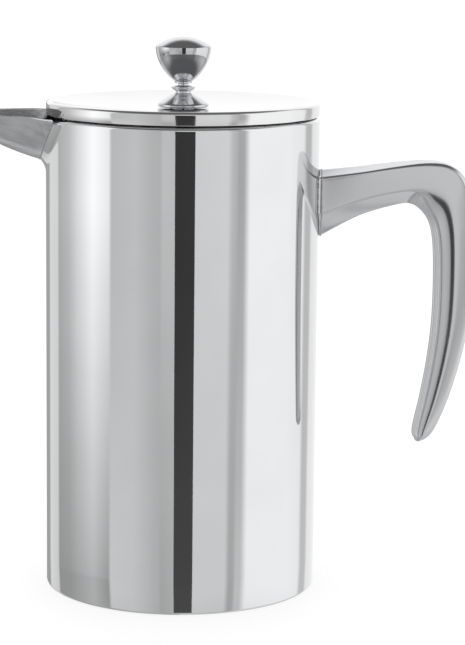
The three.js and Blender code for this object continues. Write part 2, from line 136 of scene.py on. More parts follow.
def eased(corners, radius=0.25, steps=3):
    """A closed profile with each corner rounded."""
    rounded = []
    count = len(corners)
    for i in range(count):
        before, here, after = (Vector(corners[(i + k) % count]) for k in (-1, 0, 1))
        cut = min(radius, (here - before).length * 0.45, (after - here).length * 0.45)
        start = here + (before - here).normalized() * cut
        end = here + (after - here).normalized() * cut
        rounded += bezier([start, here, end], steps)
    return rounded + rounded[:1]


def grid_faces(rows, closed_rows=False, closed_columns=True):
    """Quads between rows of vertex numbers, without the corners that repeat."""
    faces = []
    pairs = list(zip(rows, rows[1:]))
    if closed_rows:
        pairs.append((rows[-1], rows[0]))
    for low, high in pairs:
        count = len(low)
        for k in range(count if closed_columns else count - 1):
            following = (k + 1) % count
            corners = list(dict.fromkeys([low[k], low[following], high[following], high[k]]))
            if len(corners) > 2:
                faces.append(corners)
    return faces


def lathe(name, profile, sides=192, sharp=30):
    """A turned piece: the profile holds radius and height, and closes on itself or on the axis."""
    kept = [profile[0]]
    for point in profile[1:]:
        if (Vector(point) - Vector(kept[-1])).length > 1e-4:
            kept.append(point)
    closed = (Vector(kept[0]) - Vector(kept[-1])).length < 1e-4
    if closed:
        kept.pop()
    rings = []
    verts = []
    for r, z in kept:
        if r < 1e-4:
            rings.append([len(verts)] * sides)
            verts.append((0, 0, z))
            continue
        rings.append([len(verts) + k for k in range(sides)])
        for k in range(sides):
            angle = 2 * math.pi * k / sides
            verts.append((r * math.cos(angle), r * math.sin(angle), z))
    return new_object(name, verts, grid_faces(rings, closed_rows=closed), sharp)


def rounded_lathe(name, corners, radius=0.25, sides=128):
    return lathe(name, eased(corners, radius), sides)


def tube(name, points, radius, sides=8, closed=False, sharp=60):
    """A round tube along points. radius is a number or a function of the point's number."""
    count = len(points)
    points = [Vector(p) for p in points]
    rows = []
    verts = []
    normal = None
    for i, point in enumerate(points):
        after = points[(i + 1) % count] if closed or i + 1 < count else point
        before = points[i - 1] if closed or i else point
        along = (after - before).normalized()
        if normal is None:
            normal = along.orthogonal().normalized()
        normal = (normal - along * normal.dot(along)).normalized()
        side = along.cross(normal)
        size = radius(i) if callable(radius) else radius
        rows.append([len(verts) + k for k in range(sides)])
        for k in range(sides):
            angle = 2 * math.pi * k / sides
            verts.append(point + (normal * math.cos(angle) + side * math.sin(angle)) * size)
    faces = grid_faces(rows, closed_rows=closed)
    if not closed:
        faces += [rows[0][::-1], rows[-1]]
    return new_object(name, verts, faces, sharp)


def cut(obj, cutters):
    """obj with the cutters' shapes taken out of it. The cutters are removed."""
    for tool in cutters:
        change = obj.modifiers.new("cut", "BOOLEAN")
        change.operation = "DIFFERENCE"
        change.solver = "EXACT"
        change.object = tool
    bpy.context.view_layer.update()
    shape = bpy.data.meshes.new_from_object(obj.evaluated_get(bpy.context.evaluated_depsgraph_get()))
    obj.modifiers.clear()
    obj.data = shape
    turned_out(shape)
    shape.set_sharp_from_angle(angle=math.radians(30))
    for tool in cutters:
        bpy.data.objects.remove(tool)
    return obj


def cutter(first, last):
    """The closed shape between two outlines that have the same number of points."""
    count = len(first)
    faces = [[k, (k + 1) % count, count + (k + 1) % count, count + k] for k in range(count)]
    faces += [list(range(count))[::-1], list(range(count, 2 * count))]
    return new_object("cutter", first + last, faces)


def prism(outline, low, high):
    """A cutter with the outline, points in x and y, from one height to the other."""
    return cutter([(x, y, low) for x, y in outline], [(x, y, high) for x, y in outline])


def circle(x, y, radius, sides=24):
    turns = (2 * math.pi * k / sides for k in range(sides))
    return [(x + radius * math.cos(a), y + radius * math.sin(a)) for a in turns]


# ---- Materials ----

class Tree:
    """A short way to write a node tree."""

    def __init__(self, tree):
        self.tree = tree
        tree.nodes.clear()

    def node(self, kind, inputs=None, **settings):
        made = self.tree.nodes.new(kind)
        for key, value in settings.items():
            setattr(made, key, value)
        for key, value in (inputs or {}).items():
            socket = made.inputs[key]
            if isinstance(value, bpy.types.NodeSocket):
                self.tree.links.new(value, socket)
            else:
                socket.default_value = value
        return made

    def math(self, operation, *values):
        return self.node("ShaderNodeMath", dict(enumerate(values)), operation=operation).outputs[0]

    def ramp(self, factor, stops, interpolation="LINEAR"):
        made = self.node("ShaderNodeValToRGB", {"Fac": factor})
        ramp = made.color_ramp
        ramp.interpolation = interpolation
        while len(ramp.elements) < len(stops):
            ramp.elements.new(0.5)
        for element, (place, grey) in zip(ramp.elements, stops):
            element.position = place
            element.color = (grey, grey, grey, 1) if isinstance(grey, (int, float)) else (*grey, 1)
        return made.outputs["Color"]

    def span(self, value, low, high, to_low, to_high, kind="LINEAR"):
        inputs = {"Value": value, "From Min": low, "From Max": high, "To Min": to_low, "To Max": to_high}
        return self.node("ShaderNodeMapRange", inputs, interpolation_type=kind).outputs["Result"]

    def noise(self, place, scale, detail=2.0):
        inputs = {"Vector": place, "Scale": scale, "Detail": detail}
        return self.node("ShaderNodeTexNoise", inputs).outputs["Fac"]

    def mix(self, factor, a, b):
        inputs = {"Factor": factor, "A": a, "B": b}
        return self.node("ShaderNodeMix", inputs, data_type="FLOAT").outputs["Result"]

    def bump(self, height, strength, distance, normal=None):
        inputs = {"Height": height, "Strength": strength, "Distance": distance}
        if normal:
            inputs["Normal"] = normal
        return self.node("ShaderNodeBump", inputs).outputs["Normal"]


def new_material(name):
    """An empty material, its tree and the place on the object that is shaded."""
    material = bpy.data.materials.new(name)
    material.use_nodes = True
    t = Tree(material.node_tree)
    return material, t, t.node("ShaderNodeTexCoord").outputs["Object"]


def principled(t, inputs):
    shader = t.node("ShaderNodeBsdfPrincipled", inputs)
    t.node("ShaderNodeOutputMaterial", {"Surface": shader.outputs["BSDF"]})


def shaded(color, share):
    return [c * share for c in color]


def steel(name, color, roughness, smudge=0.02, wave=0.02, wave_scale=30, brush=None, brush_depth=0.0,
          rings=0.0, aniso=0.0):
    """Stainless steel. smudge varies the roughness, wave bends the reflections, brush is the
    stretch along X, Y and Z of straight brushing lines, and rings the depth of turned ones."""
    material, t, place = new_material(name)
    cloud = t.noise(place, 35.0, 4.0)
    rough = t.span(cloud, 0.3, 0.7, roughness - smudge / 2, roughness + smudge / 2)
    stretched = t.node("ShaderNodeMapping", {"Vector": place, "Scale": brush or (1, 1, 1)}).outputs["Vector"]
    normal = t.bump(t.noise(stretched, 0.2 if brush else wave_scale, 1.0), wave, 0.001)
    if brush:
        tint = t.ramp(t.noise(stretched, 0.3, 2.0), [(0.3, shaded(color, 0.78)), (0.65, color)])
        lines = t.noise(stretched, 1.0, 3.0)
        normal = t.bump(lines, brush_depth, 0.0002, normal)
        rough = t.math("ADD", rough, t.span(lines, 0.3, 0.7, -smudge, smudge))
    else:
        tint = t.ramp(cloud, [(0.3, shaded(color, 0.96)), (0.7, color)])
    if rings:
        parts = t.node("ShaderNodeSeparateXYZ", {"Vector": place})
        x, y, z = (parts.outputs[axis] for axis in "XYZ")
        flat = t.node("ShaderNodeCombineXYZ", {"X": x, "Y": y}).outputs[0]
        radius = t.node("ShaderNodeVectorMath", {0: flat}, operation="LENGTH").outputs["Value"]
        level = t.node("ShaderNodeCombineXYZ", {"X": radius, "Z": z}).outputs[0]
        lines = t.noise(level, 2600.0, 2.0)
        normal = t.bump(lines, rings, 0.0001, normal)
        rough = t.math("ADD", rough, t.span(lines, 0.35, 0.65, -smudge, smudge))
    principled(t, {
        "Base Color": tint,
        "Metallic": 1.0,
        "Roughness": rough,
        "Normal": normal,
        "Anisotropic": aniso,
    })
    return material


def soft_material(name, color, roughness, grain, depth, specular=0.5, subsurface=0.0):
    """Silicone or plastic with a fine moulded grain."""
    material, t, place = new_material(name)
    tint = t.ramp(t.noise(place, 120.0, 5.0), [(0.25, shaded(color, 0.82)), (0.75, color)])
    rough = t.span(t.noise(place, 60.0), 0.3, 0.7, roughness - 0.07, roughness + 0.07)
    normal = t.bump(t.noise(place, grain, 3.0), depth, 0.0002)
    principled(t, {
        "Base Color": tint,
        "Roughness": rough,
        "Normal": normal,
        "Specular IOR Level": specular,
        "Subsurface Weight": subsurface,
        "Subsurface Scale": 0.001,
    })
    return material


MIRROR = steel("mirror_steel", (0.83, 0.835, 0.845), 0.03, smudge=0.02, wave=0.03, wave_scale=25)
LID_MIRROR = steel("lid_steel", (0.85, 0.852, 0.858), 0.05, smudge=0.03, wave=0.012, rings=0.02)
TURNED = steel("turned_steel", (0.72, 0.725, 0.74), 0.07, smudge=0.03, wave=0.01, rings=0.03)
HANDLE = steel("handle_steel", (0.71, 0.715, 0.73), 0.16, smudge=0.05, wave=0.03, wave_scale=45)
SPOUT = steel("brushed_spout", (0.76, 0.765, 0.78), 0.25, smudge=0.05, wave=0.3,
              brush=(30, 1100, 1100), brush_depth=0.09)
# Painted shade: near-black steel for the spout's channel, which lies in the shadow under the lid.
CHANNEL_SHADE = steel("channel_painted_shade", (0.035, 0.035, 0.037), 0.45, smudge=0.1, wave=0.05, wave_scale=200)
SATIN = steel("satin_steel", (0.62, 0.62, 0.635), 0.3, smudge=0.1, wave=0.02, rings=0.18, aniso=0.3)
CHAMBER = steel("chamber_steel", (0.62, 0.625, 0.64), 0.26, smudge=0.1, wave=0.03, rings=0.15, aniso=0.3)
WELD = steel("weld_steel", (0.58, 0.58, 0.60), 0.22, smudge=0.14, wave=0.6, wave_scale=900)
SPRING = steel("spring_wire", (0.60, 0.60, 0.61), 0.22, smudge=0.1, wave=0.05, wave_scale=300)
WOVEN = steel("woven_wire", (0.52, 0.52, 0.53), 0.3, smudge=0.12, wave=0.1, wave_scale=500)
SILICONE = soft_material("silicone", (0.035, 0.035, 0.038), 0.55, 1500.0, 0.25, specular=0.4)
BUSH = soft_material("bush_plastic", (0.80, 0.78, 0.73), 0.42, 900.0, 0.12, subsurface=0.15)


def fit(obj, material, slot, body, *nodes):
    """Gives a finished piece its material and its body, and hides the CAD nodes it stands for. slot is not
    used.
    """
    obj.data.materials.clear()
    obj.data.materials.append(material)
    if nodes:
        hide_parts(*nodes)
    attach(obj, body)
    return obj


# ---- Outlines that the shell shares with the spout and the handle ----

SHEET = 0.9  # thickness of the outer wall
SHOULDER = 1.8  # radius of the bend from the wall to the rim
FOOT_R = 1.0  # radius of the bend under the wall
FOOT_FLANGE = 49.5  # inner radius of the wall's turned-in foot
RIM_R = 50.2  # inner radius of the rim
SPOUT_BLEND = 5.5  # width of the flare round the spout's seam
NOTCH_EDGE = 1.2  # wall of the spout at its upper edges
RIM_DIP = 0.7  # how far the rim drops at each side of the spout

COLLAR_GROWTH = 1.1  # how much wider each side of the handle's collar is at the wall
HANDLE_HALF = HANDLE_HIGH.y
RIDGE = 0.37  # height share at which the V of the root's underside meets its side
GRIP_HALF = 7.2
# The handle's outer edge and its keel, in x and z, from the weld to the free end.
HANDLE_EDGE = [
    (55, 167.2), (69.2, 168.6), (84, 170.5), (97, 171.4), (106, 169.7), (112.2, 163.8),
    (115.2, 151), (116, 131), (115.2, 110), (112.3, 93.5), (107.4, 76), (101.7, 62.6), (97, 57.9),
]
HANDLE_KEEL = [
    (55, 140.9), (70, 148.9), (83, 153), (90, 154), (94.4, 151.6), (97.9, 146.6),
    (99.6, 138.6), (100.2, 125), (99.9, 107), (98.3, 91), (95.8, 76), (93.1, 62.4), (94.3, 58.5),
]


def smallest(holds, low, high, steps=22):
    """The smallest number for which holds is true, if it is true from there up to high."""
    for _ in range(steps):
        middle = (low + high) / 2
        if holds(middle):
            high = middle
        else:
            low = middle
    return high


def seam_height(y, inset=0.0):
    """Height of the spout's seam at a distance across it."""
    across = y / (SEAM_HALF - NOTCH_EDGE * inset)
    return BODY_H - (SEAM_DEPTH - inset) * max(0.0, 1 - across * across)


def spout_spread(y, z):
    """How far outside the spout's seam a point of the wall lies."""
    def inside(s):
        return (BODY_H - z) / (SEAM_DEPTH + s) + (y / (SEAM_HALF + s)) ** 2 <= 1
    return smallest(inside, 0, SPOUT_BLEND)


def with_ridge(share, ridge):
    """A height share, moved so that the section's ridge comes to lie at another height."""
    if share <= RIDGE:
        return share * ridge / RIDGE
    return 1 - (1 - share) * (1 - ridge) / (1 - RIDGE)


def wall_radius(angle, z):
    """The shell's outer radius, drawn out to the spout's seam."""
    if math.cos(angle) > -0.6:  # far from the spout
        return BODY_R
    fade = 1 - spout_spread(SPOUT_R * math.sin(angle), z) / SPOUT_BLEND
    return BODY_R + (SPOUT_R - BODY_R) * fade ** 2.2


# ---- Outer shell ----

def shell_angles():
    """Column angles: close together at the spout and at the handle."""
    fine, coarse = 0.7, 42
    degrees = [x * fine for x in range(-53, 53)]
    degrees += [mix(37.1, 138.5, k / coarse) for k in range(coarse)]
    degrees += [138.5 + x * fine for x in range(119)]
    degrees += [mix(221.8, 322.9, k / coarse) for k in range(coarse)]
    return [math.radians(d) for d in degrees]


def shell_edge(angle, wall_top, radius):
    """The end of the wall: over the shoulder to the rim, or round the seam into the spout's channel."""
    y = SPOUT_R * math.sin(angle)
    facing = math.cos(angle) < 0
    share = smooth((abs(y) - (SEAM_HALF - 2.4)) / 2.6) if facing else 1.0
    dip = RIM_DIP * math.exp(-((abs(y) - SEAM_HALF) / 3) ** 2) if facing else 0.0
    top = BODY_H - dip
    shoulder = arc(radius - SHOULDER, top - SHOULDER, SHOULDER, 12, 90, 5)
    shoulder += [(mix(radius - SHOULDER, RIM_R, 0.6), top), (RIM_R, top)]
    inner = min(top, seam_height(y, 1.0)) if facing else top
    lip = radius - 0.15
    channel = [(radius, mix(wall_top, inner, 0.3)), (radius, mix(wall_top, inner, 0.75))]
    channel += [(mix(lip, RIM_R, k / 5), inner) for k in range(6)]
    return [(mix(a[0], b[0], share), mix(a[1], b[1], share)) for a, b in zip(channel, shoulder)]


def shell():
    angles = shell_angles()
    fine_from, fine_rows, low_rows = 118, 80, 10  # the rows are closer beside spout and handle
    tops = []
    for angle in angles:
        y = SPOUT_R * math.sin(angle)
        seam = seam_height(y) if math.cos(angle) < 0 and abs(y) < SEAM_HALF else BODY_H
        tops.append(min(seam, BODY_H - SHOULDER))
    heights = []
    for top in tops:
        low = [mix(FOOT_R, fine_from, k / low_rows) for k in range(low_rows)]
        heights.append(low + [mix(fine_from, top, k / fine_rows) for k in range(fine_rows + 1)])
    radii = [[wall_radius(a, z) for z in column] for a, column in zip(angles, heights)]
    columns = []
    for angle, column, sizes, top in zip(angles, heights, radii, tops):
        profile = [(FOOT_FLANGE, 0)] + arc(BODY_R - FOOT_R, FOOT_R, FOOT_R, -90, -15, 5)
        profile += list(zip(sizes, column))
        edge = shell_edge(angle, top, sizes[-1])
        rim = edge[-1][1] - SHEET
        inside = BODY_R - SHEET
        edge += [(RIM_R, rim), (inside - 1, rim), (inside, rim - 1)]
        edge += [(inside, SHEET), (FOOT_FLANGE, SHEET)]
        columns.append([(r * math.cos(angle), r * math.sin(angle), z) for r, z in profile + edge])
    count = len(columns[0])
    verts = [column[row] for row in range(count) for column in columns]
    rows = [[row * len(columns) + k for k in range(len(columns))] for row in range(count)]
    return new_object("shell", verts, grid_faces(rows, closed_rows=True), 35)


def darken_channel(body):
    """The short channel through the double wall, and the seam at its end, get near-black steel: painted shade
    for the dark under the lid.
    """
    body.data.materials.append(CHANNEL_SHADE)
    for face in body.data.polygons:
        x, y, z = face.center / MM
        in_wall = RIM_R - 0.5 < math.hypot(x, y) < SPOUT_R + 2.0
        faces_in = face.normal.z > 0.1 or face.normal.y * y < 0
        in_seam = abs(y) < SEAM_HALF and seam_height(y) + 0.3 < z < BODY_H - 0.5
        # painted shade on the channel's inward faces
        if x < 0 and in_wall and faces_in and in_seam:
            face.material_index = 1


# ---- Spout ----

SPOUT_TIP = -SPOUT_LOW.x
SPOUT_WALL = 1.0


def trough_half(s):
    """Half the trough's width at a distance in front of the wall."""
    return 19.5 - 0.12 * s - 0.007 * s * s + 7.8 * math.exp(-(s + 4) / 3.5)


def trough_depth(s):
    """The trough's depth at a distance in front of the wall."""
    return 18.4 - 0.25 * s - 0.0055 * s * s


def spout():
    """The trough: outer face, round edge, inner face and round edge, swept from the seam to the lip."""
    root = SPOUT_R + 0.3
    reach = SPOUT_TIP - BODY_R
    spans, lengths = 40, 56
    loops = []
    for k in range(lengths + 1):
        along = (k / lengths) ** 1.3
        half = trough_half(mix(-3.4, reach - 2, along))
        depth = trough_depth(mix(SPOUT_R - BODY_R, reach, along))
        dip = RIM_DIP * math.exp(-((along * reach) / 5) ** 2)

        def point(across, inset):
            side = across * (half - NOTCH_EDGE * inset)
            start = math.sqrt(root * root - side * side)
            out = mix(start, SPOUT_TIP - 2 * across * across, along)
            edge = BODY_H - dip * across ** 4
            return (-out, side, edge - (depth - SPOUT_WALL * inset) * (1 - across * across))
        outer = [point(-math.cos(math.pi * i / spans), 0) for i in range(spans + 1)]
        inner = [point(math.cos(math.pi * i / spans), 1) for i in range(spans + 1)]
        loops.append(outer + lip_round(outer, inner) + inner + lip_round(inner, outer))
    count = len(loops[0])
    verts = [p for loop in loops for p in loop]
    rows = [[k * count + i for i in range(count)] for k in range(lengths + 1)]
    faces = grid_faces(rows)
    for row, flip in ((rows[0], False), (rows[-1], True)):
        faces += end_strip(row, spans, count, flip)
    return new_object("pouring_spout", verts, faces, 40)


def lip_round(first, second):
    """Three points that carry the end of one face round to the start of the other."""
    a, b = Vector(first[-1]), Vector(second[0])
    middle, half = (a + b) / 2, (b - a) / 2
    out = Vector((0, 0, half.length))
    turns = [math.radians(x) for x in (45, 90, 135)]
    return [tuple(middle - half * math.cos(x) + out * math.sin(x) * 0.9) for x in turns]


def end_strip(row, spans, count, flip):
    """Closes the end of the trough between its outer and its inner face."""
    inner = [row[spans + 4 + i] for i in range(spans + 1)]
    faces = []
    for i in range(spans):
        quad = [row[i], row[i + 1], inner[spans - i - 1], inner[spans - i]]
        faces.append(quad if flip else quad[::-1])
    for first, last in ((spans, spans + 4), (2 * spans + 4, count)):
        corner = [row[i % count] for i in range(first, last + 1)]
        faces.append(corner if flip else corner[::-1])
    return faces


def spout_weld():
    points = []
    for k in range(181):
        across = -1 + 2 * k / 180
        y = SEAM_HALF * across
        radius = SPOUT_R + 0.12 + 0.04 * math.sin(k * 1.9)
        dip = RIM_DIP * across ** 4
        points.append((-math.sqrt(radius ** 2 - y * y), y, seam_height(y) - dip - 0.02))

    def size(i):
        return 0.24 + 0.05 * math.sin(i * 1.3) * math.sin(i * 0.37)

    return tube("spout_weld", points, size, 10)


# ---- Handle ----

def on_curve(points, t):
    """A point of the uniform Catmull-Rom curve through the points."""
    place = (len(points) - 1) * t
    first = min(int(place), len(points) - 2)
    w = place - first
    p1, p2 = Vector(points[first]), Vector(points[first + 1])
    p0 = Vector(points[first - 1]) if first else p1
    p3 = Vector(points[min(first + 2, len(points) - 1)])
    v0, v1 = (p2 - p0) / 2, (p3 - p1) / 2
    return (2 * (p1 - p2) + v0 + v1) * w ** 3 + (3 * (p2 - p1) - 2 * v0 - v1) * w * w + v0 * w + p1


def root_section():
    """Half width and height shares, from the keel up one side: V-shaped underside, side and
    bevelled top. It has as many points as the grip's section."""
    side = bezier([(0, 0), (0.05, 0.012), (0.1, 0.037)], 4)
    flank = (0.2, 0.35, 0.5, 0.65, 0.8, 0.88)
    side += [(x, RIDGE * x + 0.01 * math.sin(math.pi * x)) for x in flank]
    side += bezier([(0.94, 0.350), (1.0, 0.372), (1.0, 0.41)], 5)
    upright = (0.47, 0.55, 0.63, 0.71, 0.77)
    side += [(1 + 0.006 * math.sin(math.pi * (y - 0.41) / 0.42), y) for y in upright]
    side += bezier([(1.0, 0.85), (1.0, 0.895), (0.94, 0.91)], 4)
    side += bezier([(0.91, 0.915), (0.45, 0.955), (0, 1.0)], 10)
    return side


def grip_section():
    """The same for the grip: round on its inner side, with flatter flanks to its back."""
    side = bezier([(0, 0), (0.55, 0.0), (1.0, 0.26), (1.0, 0.58)], 16)
    side += bezier([(1.0, 0.58), (0.99, 0.60), (0.925, 0.70), (0.75, 0.90)], 6)[1:-1]
    side += bezier([(0.75, 0.90), (0.69, 0.97), (0.56, 0.985)], 4)
    side += bezier([(0.54, 0.988), (0.32, 1.0), (0, 1.0)], 10)
    return side


def handle_section(t):
    """The root's section, that turns into the grip's: its top first, then its underside."""
    points = []
    low_share, top_share = smooth((t - 0.19) / 0.22), smooth((t - 0.08) / 0.30)
    for root, grip in zip(root_section(), grip_section()):
        share = mix(low_share, top_share, smooth((root[1] - 0.5) / 0.3))
        points.append((mix(root[0], grip[0], share), mix(root[1], grip[1], share)))
    return points


def handle_half(t):
    """Half the handle's width: tapering to the grip, slimmer lower down, round at its end."""
    half = mix(GRIP_HALF, HANDLE_HALF, (1 - min(1, t / 0.5)) ** 1.35)
    slim = mix(1, 0.82, smooth((t - 0.6) / 0.32))
    end = min(1.0, max(0.0, (t - 0.92) / 0.08))
    return half * slim * math.sqrt(1 - 0.75 * end * end)


def handle_loop(t):
    """The handle's section in its place, as a closed loop of points."""
    right = handle_section(t)
    outline = right + [(-x, y) for x, y in right[-2:0:-1]]
    edge, keel = on_curve(HANDLE_EDGE, t), on_curve(HANDLE_KEEL, t)
    half = handle_half(t)
    ridge = mix(RIDGE, 0.33, min(1, 2.5 * t))
    points = []
    for across, height in outline:
        place = keel.lerp(edge, with_ridge(height, ridge))
        points.append(Vector((place.x, across * half, place.y)))
    return points


def handle():
    steps = 150
    loops = [handle_loop(t / steps) for t in range(steps + 1)]
    last = loops[-1]
    centre = sum(last, Vector()) / len(last)
    out = (centre - sum(loops[-6], Vector()) / len(last)).normalized()
    for share in (0.3, 0.6, 0.85):
        size = math.sqrt(1 - share * share)
        loops.append([centre + (p - centre) * size + out * share * 0.9 for p in last])
    count = len(last)
    verts = [p for loop in loops for p in loop]
    rows = [[k * count + i for i in range(count)] for k in range(len(loops))]
    faces = grid_faces(rows) + [rows[0][::-1], rows[-1]]
    return new_object("cast_handle", verts, faces, 42)


def handle_collar():
    """The short collar that is drawn out of the wall and ends at the handle's weld."""
    loop = handle_loop(0)
    middle = sum((p.z for p in loop)) / len(loop)
    verts, rows = [], []
    for k in range(9):
        share = k / 8
        size = 1 - 0.012 * math.sin(math.pi * share) + COLLAR_GROWTH / HANDLE_HALF * share ** 3
        rows.append([len(verts) + i for i in range(len(loop))])
        for p in loop:
            y, z = p.y * size, middle + (p.z - middle) * size
            wall = math.sqrt(BODY_R ** 2 - y * y) - 0.25
            verts.append((mix(HANDLE_X, wall, share), y, z))
    faces = grid_faces(rows) + [rows[0][::-1], rows[-1]]
    return new_object("handle_collar", verts, [face[::-1] for face in faces], 42)


def handle_weld():
    loop = handle_loop(0)
    points = []
    for here, after in zip(loop, loop[1:] + loop[:1]):
        steps = max(1, round((after - here).length / 0.45))
        points += [here.lerp(after, k / steps) for k in range(steps)]
    wobble = [0.05 * math.sin(i * 1.7) + 0.05 * math.sin(i * 0.61 + 1) for i in range(len(points))]
    path = [(HANDLE_X + 0.17 + w * 0.6, p.y * 1.004, p.z) for p, w in zip(points, wobble)]
    return tube("handle_weld", path, lambda i: 0.34 + wobble[i], 10, closed=True)


# ---- Inside of the vessel and base ----

def chamber():
    low, high = corners_of("inner_vessel")
    inside, sheet, corner = 48.4, 0.8, 5.2
    floor_z = low.z + sheet
    profile = [(0, floor_z), (inside - corner, floor_z)]
    profile += arc(inside - corner, floor_z + corner, corner, -84, 0, 14)
    profile += [(inside, z) for z in (60, 120, 165)]
    profile += arc(inside + 0.7, high.z - 0.7, 0.7, 180, 90, 5)
    profile += [(high.y, high.z), (high.y, high.z - 1.4), (inside + sheet, high.z - 2.2)]
    profile += arc(inside - corner, low.z + corner + sheet, corner + sheet, 0, -84, 14)
    profile += [(inside - corner, low.z), (0, low.z)]
    vessel = lathe("chamber", profile, 240)
    across = [-1 + 2 * k / 40 for k in range(41)]
    half, depth = SEAM_HALF - NOTCH_EDGE, SEAM_DEPTH - 1
    arch = [(v * half, BODY_H - depth * (1 - v * v)) for v in across]
    arch += [(half, BODY_H + 3), (-half, BODY_H + 3)]
    far, near = -70, -40  # well past both faces of the wall at the spout
    return cut(vessel, [cutter([(far, y, z) for y, z in arch], [(near, y, z) for y, z in arch])])


def foot_plate():
    out, _, high = turned_size("base_plate")
    rise = high - 1.0
    under = [(0, 0), (34, 0)] + bezier([(36, 0), (37, 0), (37, rise / 2), (37, rise), (38, rise)], 6)
    under += [(45.5, rise)] + bezier([(46.5, rise), (46.5, 0), (47.5, 0)], 6) + [(out - 0.3, 0)]
    over = [(r, z + 1) for r, z in under[::-1]]
    return lathe("foot_plate", under + [(out, 0.3), (out, 0.8)] + over, 192)


# ---- Lid ----

def cover():
    out, skirt, top = turned_size("lid_cover")
    centre, flat, bend, edge, sheet = 191.3, 14, 38, 1.4, 0.8
    profile = [(LID_HOLE_R, centre)]
    profile += bezier([(flat, centre), (bend, centre), (out - edge, top)], 30)
    profile += arc(out - edge, top - edge, edge, 78, 0, 7)
    profile += arc(out - 0.25, skirt + 0.25, 0.25, 0, -90, 3)
    profile += arc(out - sheet + 0.25, skirt + 0.25, 0.25, -90, -180, 3)
    profile += [(out - sheet, top - edge - 0.4), (out - sheet - 0.5, top - edge)]
    under = centre - sheet
    profile += bezier([(out - edge - 0.4, top - sheet), (bend, under), (flat, under)], 12)
    profile += [(LID_HOLE_R, under), (LID_HOLE_R, centre)]
    return lathe("lid_top", profile, 256)


def liner():
    out, low, top = turned_size("lid_liner")
    plug, sheet, groove, seat = 47.6, 0.8, 1.2, 188.8
    wall = plug - sheet
    under = top - sheet
    inside = [
        (wall, low), (wall, low + 0.6), (wall - groove, low + 1.4), (wall - groove, low + 5.6),
        (wall, low + 6.4), (wall, 180), (wall, under - 0.8), (wall - 0.8, under), (30, under),
        (LID_HOLE_R, under),
    ]
    outside = [
        (LID_HOLE_R, top), (30, top), (wall - 1.6, top), (wall - 0.4, seat + sheet),
        (out, seat + sheet), (out, seat), (plug, seat), (plug, 180), (plug, low + 6),
        (plug - groove, low + 5.2), (plug - groove, low + 1.8), (plug, low + 1), (plug, low),
    ]
    pan = lathe("strainer_pan", eased(inside + outside, 0.4, 3), 240)
    return cut(pan, strainer_slots(plug))


def slot_outline(half, low, high):
    """Outline of a strainer slot, in y and z. Known fault: the heights add up from point to
    point, so the slot reaches about 4.4 mm past low and past high, with slanted ends. Round
    ends would be arc(0, high - half, half, 0, 180, 8) + arc(0, low + half, half, 180, 360, 8)."""
    outline = []
    for z, start in ((high - half, 0), (low + half, 180)):
        for k in range(9):
            angle = math.radians(start + 22.5 * k)
            z += half * math.sin(angle)
            outline.append((half * math.cos(angle), z))
    return outline


def strainer_slots(plug):
    """Cutters for the upright slots on the side of the spout."""
    count, pitch, half, low, high, reach = 11, 6, 1.1, 179.6, 187.2, 3
    outline = slot_outline(half, low, high)
    cutters = []
    for i in range(count):
        turn = Matrix.Rotation(math.radians(180 + (i - (count - 1) / 2) * pitch), 3, "Z")
        first, last = ([turn @ Vector((x, y, z)) for y, z in outline] for x in (plug - reach, plug + reach))
        cutters.append(cutter(first, last))
    return cutters


def seal():
    """The silicone ring, with three wiping lips."""
    out, low, high = turned_size("lid_seal")
    inner = out - 1.45
    lips = []
    for k in range(3):
        middle = mix(low, high, (k + 0.5) / 3)
        step = (high - low) / 6
        lips += [(out - 0.45, middle - step + 0.05), (out - 0.02, middle), (out - 0.45, middle + step - 0.05)]
    profile = [(inner, low), (out - 0.5, low)] + lips + [(out - 0.5, high), (inner, high)]
    return lathe("seal_ring", eased(profile, 0.16, 3), 240)


def ferrule():
    _, low, top = turned_size("lid_ferrule")
    seat = top - 8.5  # the cone's foot, on the cover
    shank = 5

    def at(r, z):
        return r, seat + z

    profile = arc(BORE_R + 0.2, top - 0.2, 0.2, 180, 90, 3)
    profile += bezier([at(3.1, 8.5), at(4.4, 8.25), at(4.8, 7.75)], 6)
    profile += bezier([at(4.85, 7.55), at(4.75, 7.1), at(3.5, 6.35)], 6)
    profile += [at(3.0, 6.2), at(2.95, 5.9), at(3.05, 5.6), at(3.35, 5.45)]
    profile += bezier([at(3.6, 5.3), at(6.4, 3.75), at(9.1, 1.95)], 12)
    profile += bezier([at(9.1, 1.95), at(10.75, 0.95), at(9.8, 0.08)], 12)
    profile += [at(9.3, 0), (shank, seat), (shank, seat - 3)]
    for k in range(5):
        z = seat - 3.4 - 0.9 * k
        profile += [(shank, z), (shank - 0.25, z - 0.45)]
    profile += [(shank, low + 0.3), (shank - 0.2, low), (3.9, low), (3.9, seat - 0.6)]
    profile += [(BORE_R, seat - 0.6), (BORE_R, top - 0.2)]
    return lathe("ferrule", profile, 128)


def hexagon_nut(name, node, flats, bore, sides=96):
    """A nut with rounded chamfers on both ends and a countersunk bore."""
    low, high = (corner.z for corner in corners_of(node))
    start, slope, sink = flats / 2 * 0.985, math.tan(math.radians(28)), 0.35
    columns = []
    for k in range(sides):
        angle = 2 * math.pi * k / sides
        off = (math.degrees(angle) + 30) % 60 - 30
        reach = flats / 2 / math.cos(math.radians(off))
        drop = max(0.0, reach - start) * slope
        face = [(bore + sink, low), (start, low), (reach, low + drop), (reach, high - drop), (start, high)]
        face += [(bore + sink, high), (bore, high - sink), (bore, low + sink)]
        columns.append([(r * math.cos(angle), r * math.sin(angle), z) for r, z in face])
    count = len(columns[0])
    verts = [column[row] for row in range(count) for column in columns]
    rows = [[row * sides + k for k in range(sides)] for row in range(count)]
    return new_object(name, verts, grid_faces(rows, closed_rows=True), 25)


def washer():
    out, low, high = turned_size("ferrule_washer")
    corners = [(LID_HOLE_R, low), (out, low), (out, high), (LID_HOLE_R, high)]
    return rounded_lathe("seat_washer", corners, 0.2)


